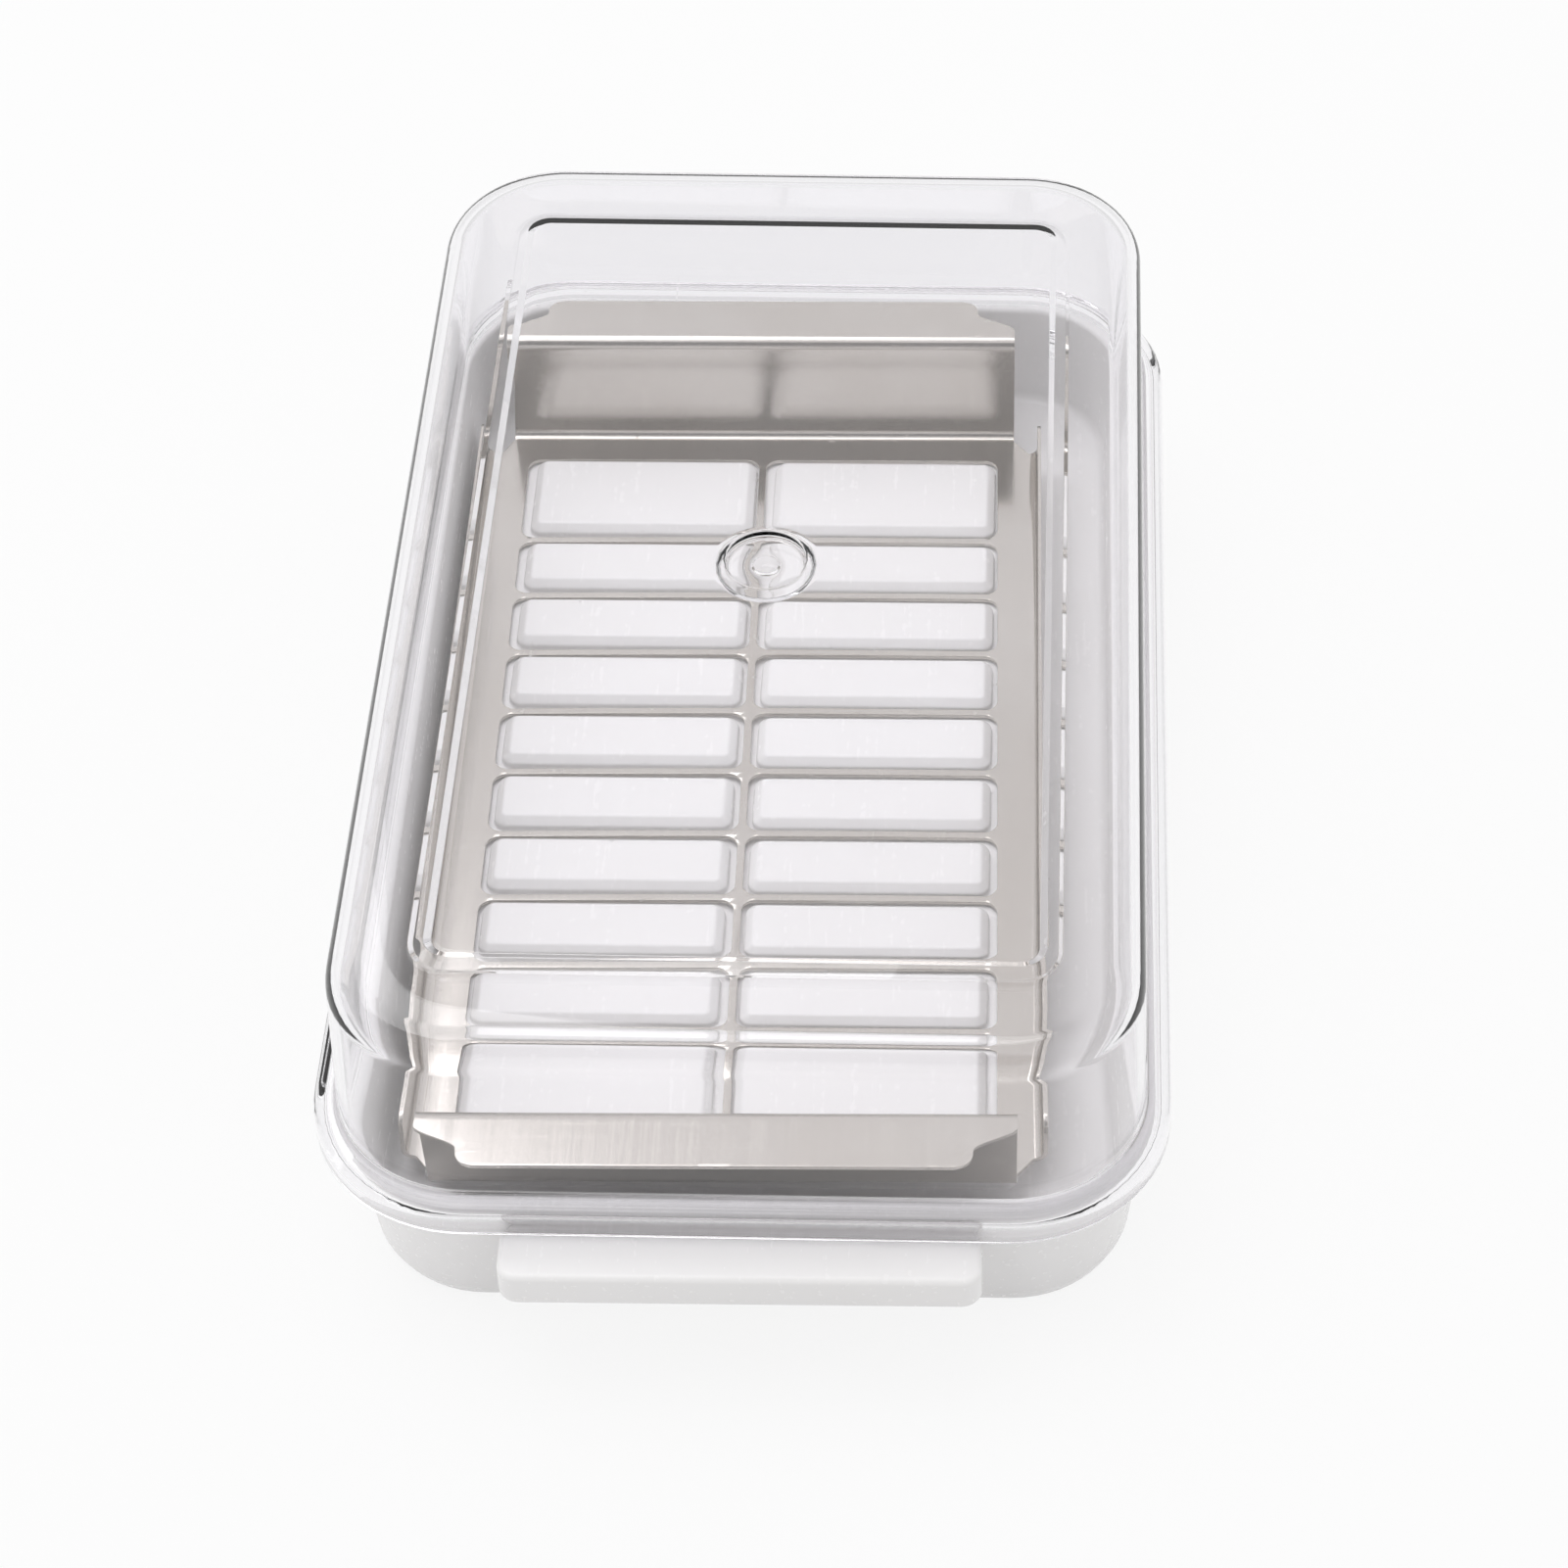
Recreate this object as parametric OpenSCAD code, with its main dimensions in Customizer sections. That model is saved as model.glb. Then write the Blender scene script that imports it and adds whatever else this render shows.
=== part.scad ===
// Butter cutting box: a shallow tray with raised pads, a pressed steel cutter
// whose bars lie in the grooves between the pads, and a clear cover.
// Origin: middle of the whole outline with its tab, on the surface it stands on.
// The tab points to -Y.

/* [Overall] */
// Width of the box across the cover's rim
rim_w = 105; // [95:1:130]
// Length of the box across the cover's rim, without the tab
rim_l = 173; // [144:1:208]
// Plan radius of the rim's corners
rim_corner_r = 20; // [17:1:26]
// Height of the cover's shoulder, round the raised panel, above the table
cover_top_z = 48.7; // [44:0.1:70]

/* [Cutting grid] */
// Distance between the cross bars, which is the thickness of a slice
slice_pitch = 11.35; // [8:0.05:14]
// Shortest length that the two end windows may have
end_window_min = 14; // [10:1:16]
// Width of the bars
bar_w = 1; // [0.8:0.1:1.6]
// Corner radius of the windows
window_r = 1.8; // [0.8:0.1:2.4]
// Distance of the grid and its pads from the middle of the tray, to the left
grid_shift = 3.9; // [0:0.1:4.1]
// Distance of the grid and its pads from the middle of the tray, towards the tab
grid_near = 1.7; // [0:0.1:1.9]

/* [Tray] */
// Height of the tray's rim above the table
tray_h = 22; // [18:0.1:26]
// Thickness of the tray's wall and rim
tray_wall = 2; // [1.4:0.1:2.4]
// Thickness of the tray's floor
floor_t = 1.8; // [1.2:0.1:2.4]
// Height of the hollow below the floor
foot_h = 4.5; // [3:0.1:6]
// Height of the raised floor that the cutter rests on, above the floor round it
ledge_h = 3.3; // [2:0.1:5]
// Height of the pads above the raised floor
pad_rise = 2; // [1.6:0.05:2.6]
// Width and height of the sloped edge round the top of each pad
pad_slope = 1.1; // [0.6:0.1:1.2]
// Corner radius of the pads
pad_corner_r = 1.7; // [1.5:0.1:2.4]
// Width of the tab
tab_w = 58; // [40:1:64]
// Reach of the tab beyond the cover's rim
tab_reach = 5.2; // [3:0.1:12]
// Thickness of the tab
tab_t = 4.9; // [3:0.1:6]

/* [Cutter] */
// Thickness of the steel sheet
sheet_t = 0.6; // [0.5:0.1:0.9]
// Height of the end walls above the plate
end_wall_h = 16.3; // [10:0.1:20]
// Outward lean of the end walls in degrees
end_lean = 7; // [0:0.5:9]
// Reach of the finger flanges beyond their bends
flange_l = 7.4; // [5:0.1:7.5]
// Height of the side flanges above the plate
side_flange_h = 6.5; // [4:0.1:9]
// Inside radius of the bends
bend_r = 1.2; // [0.8:0.1:1.6]
// Turn of the cutter within its play over the pads, in degrees
cutter_turn = 0.5; // [-0.5:0.1:0.5]

/* [Cover] */
// Thickness of the cover's walls
cover_wall = 1.6; // [1.3:0.1:2.1]
// Width of the rim outside the cover's wall
rim_reach = 3; // [2.6:0.1:4]
// Inward draft of the cover's wall from foot to top
cover_draft = 0.9; // [0.4:0.1:1]
// Radius of the cover's top edge
top_edge_r = 4; // [2.5:0.1:6]
// Depth of the rim's outer lip
lip_h = 4.5; // [3:0.1:6]
// Thickness of the rim's outer lip
lip_t = 1.6; // [1.2:0.1:2]
// Height of the raised panel
panel_h = 0.7; // [0.6:0.1:1.5]
// Width of the panel's sloped edge
panel_slope = 1.9; // [0.4:0.1:2]
// Distance of the panel's long edges from the outside of the cover's top
panel_inset = 9.8; // [7:0.1:16]
// Distance of the panel's short edges from the outside of the cover's top
panel_end_inset = 12.2; // [7:0.1:16]
// Corner radius of the panel
panel_r = 5; // [3:0.1:8]
// Radius of the round dimple in the panel
dimple_r = 5.3; // [3:0.1:8]
// Depth of the dimple
dimple_d = 1.2; // [0.6:0.1:1.6]
// Turn of the cover within its play round the tray's rim, in degrees
cover_turn = -0.5; // [-0.5:0.1:0.5]

/* [Fits] */
// Gap between the cover's rim and the tray's rim below it
rim_gap = 0.2; // [0.1:0.05:0.4]
// Play between the cover's lip and the tray's rim inside it
rim_play = 1; // [1:0.1:1.5]
// Gap between the cutter and the raised floor it rests over
seat_gap = 0.25; // [0.15:0.05:0.4]
// Gap between a pad and the short edges of its window
pad_side_gap = 0.85; // [0.85:0.05:1.5]
// Gap between a pad and the long edges of its window
pad_end_gap = 0.6; // [0.6:0.05:1.2]

/* [Hidden] */
$fn = 64;
arc_steps = 6;

// Centres of the corner arcs, which every wall of the box shares
corner_x = rim_w / 2 - rim_corner_r;
corner_y = rim_l / 2 - rim_corner_r;

// Radii from the corner centres
wall_step = 0.9;
cover_foot_r = rim_corner_r - rim_reach;
cover_top_r = cover_foot_r - cover_draft;
lip_inner_r = rim_corner_r - lip_t;
tray_rim_r = lip_inner_r - rim_play;
tray_inner_r = cover_foot_r - cover_wall - wall_step;
tray_outer_r = tray_inner_r + tray_wall;
tray_draft = 1.8;
tray_edge_r = 1;
tray_foot_r = 3;

// Heights
floor_z = foot_h + floor_t;
ledge_z = floor_z + ledge_h;
pad_z = ledge_z + pad_rise;
plate_z = ledge_z + seat_gap;
rim_under_z = tray_h + rim_gap;
rim_top_z = rim_under_z + cover_wall;
lip_z = rim_top_z - lip_h;
tab_top_z = lip_z - 0.8;
panel_z = cover_top_z + panel_h;

// Size of the cutter's plate, which follows the tray
plate_w = rim_w - 24.6;
plate_l = rim_l - 36.4;
outer_bend_r = bend_r + sheet_t;
flat_w = plate_w - 2 * outer_bend_r;
flat_l = plate_l - 2 * outer_bend_r;
corner_cut = 2.6;
end_wall_w = plate_w - 7.8;

// Layout of the windows
side_margin = 6.3;
end_margin = 6.1;
field_w = plate_w - 2 * side_margin;
field_l = plate_l - 2 * end_margin;
window_w = (field_w - bar_w) / 2;
bar_count = floor((field_l - 2 * end_window_min) / slice_pitch) + 1;
bar_span = (bar_count - 1) * slice_pitch;
end_window_l = (field_l - bar_span - bar_w) / 2;
row_count = bar_count + 1;

// Near end and length of each row of windows
function row_start(i) = i == 0 ? -field_l / 2 : -bar_span / 2 + (i - 1) * slice_pitch + bar_w / 2;
function row_length(i) = (i == 0 || i == row_count - 1) ? end_window_l : slice_pitch - bar_w;

// Points along an arc round (cx, cy) from angle a0 to a1
function arc(cx, cy, r, a0, a1) =
    [for (i = [0:arc_steps]) let (a = a0 + (a1 - a0) * i / arc_steps) [cx + r * cos(a), cy + r * sin(a)]];

// Rectangle with round corners, centred on the origin
module round_rect(w, l, r) {
    union() {
        square([w - 2 * r, l], center = true);
        square([w, l - 2 * r], center = true);
        for (sx = [-1, 1], sy = [-1, 1])
            translate([sx * (w / 2 - r), sy * (l / 2 - r)]) circle(r);
    }
}

// Moves a piece drawn round the middle of the box to its place, so that the tab's tip
// and the turned cover's far end lie equally far from the origin
module in_place() {
    tip_y = rim_l / 2 + tab_reach;
    far_y = corner_y * cos(cover_turn) + corner_x * abs(sin(cover_turn)) + rim_corner_r;
    translate([0, (tip_y - far_y) / 2, 0]) children();
}

// Solid whose side profile, drawn outwards from the corner centres (cx, cy), goes
// all the way round; the middle is filled from z0 to z1
module around(cx, cy, z0, z1) {
    for (sx = [0, 1], sy = [0, 1])
        mirror([sx, 0, 0]) mirror([0, sy, 0])
            translate([cx, cy, 0]) rotate_extrude(angle = 90) children();
    for (s = [0, 180]) rotate([0, 0, s]) {
        translate([cx, cy, 0]) rotate([90, 0, 0]) linear_extrude(2 * cy) children();
        translate([-cx, cy, 0]) rotate([90, 0, 90]) linear_extrude(2 * cx) children();
    }
    translate([-cx, -cy, z0]) cube([2 * cx, 2 * cy, z1 - z0]);
}

// Side profile of the tray's outside, with a flat rim and a rounded foot
module tray_outside() {
    foot_x = tray_outer_r - tray_draft;
    rim_edge_r = tray_edge_r / 2;
    polygon(concat(
        [[0, 0]],
        arc(foot_x - tray_foot_r, tray_foot_r, tray_foot_r, -90, 0),
        [[tray_outer_r, tray_h - tray_wall], [tray_rim_r, tray_h - tray_wall]],
        arc(tray_rim_r - rim_edge_r, tray_h - rim_edge_r, rim_edge_r, 0, 90),
        [[0, tray_h]]));
}

// Side profile of the space inside the tray
module tray_inside() {
    inner_foot = tray_inner_r - tray_draft;
    mouth = tray_inner_r + tray_edge_r;
    polygon(concat(
        [[0, floor_z]],
        arc(inner_foot - tray_edge_r, floor_z + tray_edge_r, tray_edge_r, -90, 0),
        arc(mouth, tray_h - tray_edge_r, tray_edge_r, 180, 90),
        [[mouth, tray_h + 1], [0, tray_h + 1]]));
}

// Side profile of the hollow below the floor, inside a flat foot ring
module tray_below() {
    ring_w = 1;
    hollow_r = tray_outer_r - tray_draft - tray_wall;
    mouth = tray_outer_r - tray_draft - tray_foot_r - ring_w;
    polygon([[0, -1], [mouth, -1], [mouth, 0], [hollow_r, tray_foot_r], [hollow_r, foot_h], [0, foot_h]]);
}

// Tab on the near end, open from below
module tab() {
    tab_r = 2.5;
    tab_skin = 1.5;
    tip_y = rim_l / 2 + tab_reach;
    root_y = corner_y + tray_outer_r - 0.8;
    tab_l = tip_y - root_y;
    pocket_l = tip_y - tab_skin - corner_y - tray_outer_r - 0.5;
    difference() {
        translate([0, -tip_y + tab_l / 2, tab_top_z - tab_t])
            linear_extrude(tab_t) round_rect(tab_w, tab_l, tab_r);
        translate([-tab_w / 2 + tab_skin, -tip_y + tab_skin, tab_top_z - tab_t - 1])
            cube([tab_w - 2 * tab_skin, pocket_l, tab_t + 1 - tab_skin]);
    }
}

module tray() {
    color("white") in_place() {
        difference() {
            around(corner_x, corner_y, 0, tray_h) tray_outside();
            around(corner_x, corner_y, floor_z, tray_h + 1) tray_inside();
            around(corner_x, corner_y, -1, foot_h) tray_below();
        }
        difference() {
            tab();
            around(corner_x, corner_y, floor_z, tray_h + 1) tray_inside();
        }
    }
}

// Raised floor below the cutter's plate, within its side flanges
module raised_floor() {
    round_r = 2;
    w = (field_w + flat_w) / 2 + 2;
    l = (field_l + flat_l) / 2 + 2;
    color("white") in_place() translate([-grid_shift, -grid_near, floor_z])
        linear_extrude(height = ledge_h) round_rect(w, l, round_r);
}

// One pad: a block w by l with round corners and a sloped edge round its top
module pad(w, l) {
    around(w / 2 - pad_corner_r, l / 2 - pad_corner_r, 0, pad_rise)
        polygon([[0, 0], [pad_corner_r, 0], [pad_corner_r, pad_rise - pad_slope],
                 [pad_corner_r - pad_slope, pad_rise], [0, pad_rise]]);
}

// Pads on the raised floor, one below each window
module pads() {
    color("white") in_place() translate([-grid_shift, -grid_near, ledge_z])
        for (i = [0:row_count - 1], s = [-1, 1])
            translate([s * (bar_w + window_w) / 2, row_start(i) + row_length(i) / 2, 0])
                pad(window_w - 2 * pad_side_gap, row_length(i) - 2 * pad_end_gap);
}

// Flat outline of the cutter's plate, with its windows
module plate_outline() {
    difference() {
        polygon([[-flat_w / 2, -flat_l / 2 + corner_cut], [-end_wall_w / 2, -flat_l / 2],
                 [end_wall_w / 2, -flat_l / 2], [flat_w / 2, -flat_l / 2 + corner_cut],
                 [flat_w / 2, flat_l / 2 - corner_cut], [end_wall_w / 2, flat_l / 2],
                 [-end_wall_w / 2, flat_l / 2], [-flat_w / 2, flat_l / 2 - corner_cut]]);
        for (i = [0:row_count - 1], s = [-1, 1])
            translate([s * (bar_w + window_w) / 2, row_start(i) + row_length(i) / 2])
                round_rect(window_w, row_length(i), window_r);
    }
}

// Places a piece of the cutter over the raised floor, with the cutter's shift and turn
module in_tray() {
    in_place() translate([-grid_shift, -grid_near, plate_z]) rotate([0, 0, cutter_turn]) children();
}

// Section of a sheet bend that turns up through an angle, with a short flat before it
module bend_section(angle) {
    lap = 1;
    polygon(concat(
        [[-lap, 0]],
        arc(0, outer_bend_r, outer_bend_r, -90, -90 + angle),
        arc(0, outer_bend_r, bend_r, -90 + angle, -90),
        [[-lap, sheet_t]]));
}

// Section of an end wall with its two bends, from the plate's edge outwards and up
end_up = 90 - end_lean;
wall_foot = [outer_bend_r * sin(end_up), outer_bend_r * (1 - cos(end_up))];
wall_rise = end_wall_h - (outer_bend_r + bend_r) * (1 - cos(end_up));
wall_head = wall_foot + wall_rise * [tan(end_lean), 1];
flange_y = flat_l / 2 + wall_head[0] + bend_r * sin(end_up);

module end_section() {
    lap = 0.2;
    bend_section(end_up);
    translate(wall_foot) rotate(end_up) translate([-lap, 0])
        square([wall_rise / cos(end_lean) + lap, sheet_t]);
    translate(wall_head) rotate(end_up) translate([0, sheet_t]) mirror([0, 1]) bend_section(end_up);
}

// Flat outline of a finger flange: wide at its bend, then drawn in to its tip by an
// S-shaped shoulder on each side
module flange_outline() {
    shoulder_l = 2;
    shoulder_r = 1.4;
    curve_r = (flange_l - shoulder_l) / 2;
    tip_w = end_wall_w - 10.6;
    lap = 0.5;
    union() {
        translate([-end_wall_w / 2, -lap]) square([end_wall_w, shoulder_l + lap - shoulder_r]);
        translate([-end_wall_w / 2 + shoulder_r, 0]) square([end_wall_w - 2 * shoulder_r, shoulder_l]);
        translate([-tip_w / 2, 0]) square([tip_w, flange_l - curve_r]);
        translate([-tip_w / 2 + curve_r, 0]) square([tip_w - 2 * curve_r, flange_l]);
        for (s = [-1, 1]) {
            translate([s * (end_wall_w / 2 - shoulder_r), shoulder_l - shoulder_r]) circle(shoulder_r);
            translate([s * (tip_w / 2 - curve_r), flange_l - curve_r]) circle(curve_r);
            difference() {
                translate([s * (tip_w + curve_r) / 2, shoulder_l + curve_r / 2])
                    square(curve_r, center = true);
                translate([s * (tip_w / 2 + curve_r), shoulder_l + curve_r]) circle(curve_r);
            }
        }
    }
}

// Far end of the cutter: margin of the plate, wall and finger flange
module cutter_end() {
    half_field = field_w / 2 - window_r;
    linear_extrude(sheet_t) intersection() {
        plate_outline();
        union() {
            translate([-half_field, field_l / 2]) square([2 * half_field, flat_l]);
            translate([-flat_w, flat_l / 2 - corner_cut]) square([2 * flat_w, flat_l]);
        }
    }
    translate([-end_wall_w / 2, flat_l / 2, 0]) rotate([90, 0, 90]) linear_extrude(end_wall_w) end_section();
    translate([0, flange_y, end_wall_h]) linear_extrude(sheet_t) flange_outline();
}

// Right side of the cutter: margin of the plate and upturned flange
module cutter_side() {
    inner_x = field_w / 2 - window_r;
    half_l = flat_l / 2 - corner_cut;
    flange_end = half_l - 0.4;
    linear_extrude(sheet_t) intersection() {
        plate_outline();
        translate([inner_x, -half_l]) square([flat_w, 2 * half_l]);
    }
    translate([flat_w / 2, flange_end, 0]) rotate([90, 0, 0]) linear_extrude(2 * flange_end) {
        bend_section(90);
        translate([bend_r, outer_bend_r]) square([sheet_t, side_flange_h + sheet_t - outer_bend_r]);
    }
}

module cutter_near_end() {
    color("silver") in_tray() rotate([0, 0, 180]) cutter_end();
}

module cutter_far_end() {
    color("silver") in_tray() cutter_end();
}

module cutter_left_side() {
    color("silver") in_tray() rotate([0, 0, 180]) cutter_side();
}

module cutter_right_side() {
    color("silver") in_tray() cutter_side();
}

module cutter_centre_bar() {
    color("silver") in_tray() linear_extrude(sheet_t) intersection() {
        plate_outline();
        square([bar_w + 2 * window_r, field_l], center = true);
    }
}

module cutter_cross_bars() {
    free_l = window_w - 2 * window_r;
    color("silver") in_tray()
        for (i = [0:bar_count - 1], s = [-1, 1])
            translate([s * (bar_w + window_w) / 2, -bar_span / 2 + i * slice_pitch, sheet_t / 2])
                cube([free_l, bar_w, sheet_t], center = true);
}

// Side profile of the cover's outside, from its rounded top edge down to the rim's lip
module cover_outside() {
    lip_edge_r = 1;
    polygon(concat(
        [[0, lip_z], [rim_corner_r, lip_z]],
        arc(rim_corner_r - lip_edge_r, rim_top_z - lip_edge_r, lip_edge_r, 0, 90),
        [[cover_foot_r, rim_top_z]],
        arc(cover_top_r - top_edge_r, cover_top_z - top_edge_r, top_edge_r, 0, 90),
        [[0, cover_top_z]]));
}

// Side profile of the space inside the cover
module cover_inside() {
    inner_top_r = cover_top_r - cover_wall;
    ceiling = cover_top_z - cover_wall;
    polygon(concat(
        [[0, lip_z - 1], [lip_inner_r, lip_z - 1], [lip_inner_r, rim_under_z],
         [cover_foot_r - cover_wall, rim_under_z]],
        arc(inner_top_r - top_edge_r, ceiling - top_edge_r, top_edge_r, 0, 90),
        [[0, ceiling]]));
}

// Side profile of the raised panel, from below the shoulder up to its top
module panel_profile(r, low, step, high) {
    polygon([[0, low], [r, low], [r, step], [r - panel_slope, high], [0, high]]);
}

module whole_cover() {
    panel_x = corner_x + cover_top_r - panel_inset - panel_r;
    panel_y = corner_y + cover_top_r - panel_end_inset - panel_r;
    shoulder_under = cover_top_z - cover_wall;
    panel_under = panel_z - cover_wall;
    difference() {
        union() {
            around(corner_x, corner_y, lip_z, cover_top_z) cover_outside();
            around(panel_x, panel_y, shoulder_under, panel_z)
                panel_profile(panel_r, shoulder_under, cover_top_z, panel_z);
        }
        around(corner_x, corner_y, lip_z - 1, shoulder_under) cover_inside();
        difference() {
            around(panel_x, panel_y, shoulder_under - 1, panel_under)
                panel_profile(panel_r - 1, shoulder_under - 1, shoulder_under, panel_under);
            translate([0, 0, panel_under - dimple_d]) cylinder(h = cover_wall, r = dimple_r + 1);
        }
        translate([0, 0, panel_z - dimple_d]) cylinder(h = dimple_d + 1, r = dimple_r);
    }
}

// Part of the cover inside the shapes given, in its place on the tray
module cover_part() {
    color("white", 0.35) in_place() rotate([0, 0, cover_turn])
        intersection() {
            whole_cover();
            union() children();
        }
}

// Height at which the cover's walls are parted from its top
parting_z = cover_top_z - cover_wall - top_edge_r - 0.1;

module cover_top() {
    cover_part() translate([-rim_w, -rim_l, parting_z]) cube([2 * rim_w, 2 * rim_l, cover_top_z]);
}

// The four straight walls with their rims
module cover_sides() {
    cover_part() {
        translate([-rim_w, -corner_y, 0]) cube([2 * rim_w, 2 * corner_y, parting_z]);
        translate([-corner_x, -rim_l, 0]) cube([2 * corner_x, 2 * rim_l, parting_z]);
    }
}

// The four round corners with their rims
module cover_corners() {
    cover_part()
        for (sx = [0, 1], sy = [0, 1])
            mirror([sx, 0, 0]) mirror([0, sy, 0])
                translate([corner_x, corner_y, 0]) cube([rim_w, rim_l, parting_z]);
}

tray();
raised_floor();
pads();
cutter_near_end();
cutter_far_end();
cutter_left_side();
cutter_right_side();
cutter_centre_bar();
cutter_cross_bars();
cover_top();
cover_sides();
cover_corners();
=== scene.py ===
import math

import bpy
import numpy as np
from mathutils import Matrix, Vector


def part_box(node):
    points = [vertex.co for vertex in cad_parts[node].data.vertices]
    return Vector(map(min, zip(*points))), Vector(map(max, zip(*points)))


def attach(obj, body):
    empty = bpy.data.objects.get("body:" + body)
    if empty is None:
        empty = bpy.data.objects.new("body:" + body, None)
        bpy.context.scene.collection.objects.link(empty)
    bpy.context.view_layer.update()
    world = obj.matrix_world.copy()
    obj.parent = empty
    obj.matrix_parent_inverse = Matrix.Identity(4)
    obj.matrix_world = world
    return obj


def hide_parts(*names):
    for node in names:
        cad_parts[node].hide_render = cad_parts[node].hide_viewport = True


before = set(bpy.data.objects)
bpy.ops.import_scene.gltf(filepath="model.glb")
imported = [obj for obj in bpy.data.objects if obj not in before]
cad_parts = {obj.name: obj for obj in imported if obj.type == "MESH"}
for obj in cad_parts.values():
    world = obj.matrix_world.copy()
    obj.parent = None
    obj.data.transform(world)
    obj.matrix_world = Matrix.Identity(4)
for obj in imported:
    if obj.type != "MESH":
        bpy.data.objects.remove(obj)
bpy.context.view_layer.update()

print("frame loaded")

mm = 0.001
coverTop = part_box("cover_top")[1][2] / mm
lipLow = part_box("cover_corners")[0][2] / mm
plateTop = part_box("cutter_cross_bars")[1][2] / mm
padsBottom, padsTop = (corner[2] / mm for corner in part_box("pads"))
trayLow, trayHigh = (np.array(corner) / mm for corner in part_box("tray"))
floorLow, floorHigh = (np.array(corner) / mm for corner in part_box("raised_floor"))

# what the walls of the box share, in millimetres
box = {
    "cornerX": 32.5,  # centres of the corner arcs, from the middle of the box
    "cornerY": 66.5,
    "trayRim": 17.4,  # radius of the tray's rim from the corner centres
    "gridX": -3.9,  # the grid lies to the left of the middle and towards the tab
    "gridY": -1.7,
    "coverTurn": math.radians(-0.5),  # the cover lies slightly turned on the tray
}
box["middle"] = trayHigh[1] - box["cornerY"] - box["trayRim"]
box["gridPlace"] = [box["gridX"], box["middle"] + box["gridY"], 0]


# ring: a closed line round a rounded rectangle. Along it run a corner centre, as
# shares of (halfX, halfY), and the outward direction from that centre
def ringPath(cornerSteps, sideSteps, endSteps):
    straights = [((1, -1), (1, 1), sideSteps), ((1, 1), (-1, 1), endSteps),
                 ((-1, 1), (-1, -1), sideSteps), ((-1, -1), (1, -1), endSteps)]
    centres, directions = [], []
    for quarter, (start, end, steps) in enumerate(straights):
        share = np.linspace(0, 1, steps, endpoint=False)[:, None]
        centres.append(np.array(start) * (1 - share) + np.array(end) * share)
        turn = np.full(steps, quarter * np.pi / 2)
        directions.append(np.stack([np.cos(turn), np.sin(turn)], 1))
        turn = quarter * np.pi / 2 + np.linspace(0, np.pi / 2, cornerSteps, endpoint=False)
        centres.append(np.tile(np.array(end, float), (cornerSteps, 1)))
        directions.append(np.stack([np.cos(turn), np.sin(turn)], 1))
    return np.concatenate(centres), np.concatenate(directions)


# profile: a line of points (radius, height) with each inner corner turned into an arc
# that meets both its sides; radii holds one fillet radius for each point
def roundedProfile(points, radii, steps=6):
    points = np.array(points, float)
    out = [points[0]]
    for before, corner, after, radius in zip(points[:-2], points[1:-1], points[2:], radii[1:-1]):
        if radius <= 0:
            out.append(corner)
            continue
        inward = (before - corner) / np.linalg.norm(before - corner)
        outward = (after - corner) / np.linalg.norm(after - corner)
        half = np.arccos(np.clip(inward @ outward, -1, 1)) / 2
        reach = radius / np.tan(half)
        bisector = (inward + outward) / np.linalg.norm(inward + outward)
        centre = corner + bisector * radius / np.sin(half)
        first, last = corner + inward * reach - centre, corner + outward * reach - centre
        sweep = np.arctan2(first[0] * last[1] - first[1] * last[0], first @ last)
        turn = np.linspace(0, 1, steps + 1) * sweep
        cos, sin = np.cos(turn), np.sin(turn)
        out.extend(centre + np.stack([first[0] * cos - first[1] * sin,
                                      first[0] * sin + first[1] * cos], 1))
    out.append(points[-1])
    return np.array(out)


# rings of one profile: each profile point (radius, height) becomes the line at that
# distance outside a rectangle of corner centres
def profileRings(path, halfX, halfY, profile):
    centres, directions = path
    plan = centres[None] * [halfX, halfY] + profile[:, 0, None, None] * directions[None]
    height = np.broadcast_to(profile[:, 1, None, None], plan.shape[:2] + (1,))
    return np.concatenate([plan, height], 2)


# rings round the middle: each profile point becomes a circle, with its points at the
# same bearings as those of the guide ring
def roundRings(guide, profile):
    bearing = np.arctan2(guide[:, 1], guide[:, 0])
    plan = profile[:, 0, None, None] * np.stack([np.cos(bearing), np.sin(bearing)], 1)[None]
    height = np.broadcast_to(profile[:, 1, None, None], plan.shape[:2] + (1,))
    return np.concatenate([plan, height], 2)


# skin: quads between each ring and the next, closed at both ends by a fan to a pole
def ringSkin(rings, startPole, endPole):
    rows, around = rings.shape[:2]
    index = np.arange(rows * around).reshape(rows, around)
    after = np.roll(index, -1, 1)
    quads = np.stack([index[:-1], after[:-1], after[1:], index[1:]], 2).reshape(-1, 4)
    first, last = rows * around, rows * around + 1
    points = np.concatenate([rings.reshape(-1, 3), [startPole, endPole]])
    fans = [(first, b, a) for a, b in zip(index[0], after[0])]
    fans += [(last, a, b) for a, b in zip(index[-1], after[-1])]
    return points, [tuple(q) for q in quads.tolist()] + fans


# several skins as one mesh
def joinSkins(skins):
    points, faces, offset = [], [], 0
    for skinPoints, skinFaces in skins:
        points.append(skinPoints)
        faces += [tuple(i + offset for i in face) for face in skinFaces]
        offset += len(skinPoints)
    return np.concatenate(points), faces


# points turned round the Z axis
def turnAbout(points, angle):
    cos, sin = math.cos(angle), math.sin(angle)
    return np.column_stack([points[:, 0] * cos - points[:, 1] * sin,
                            points[:, 0] * sin + points[:, 1] * cos, points[:, 2]])


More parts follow.
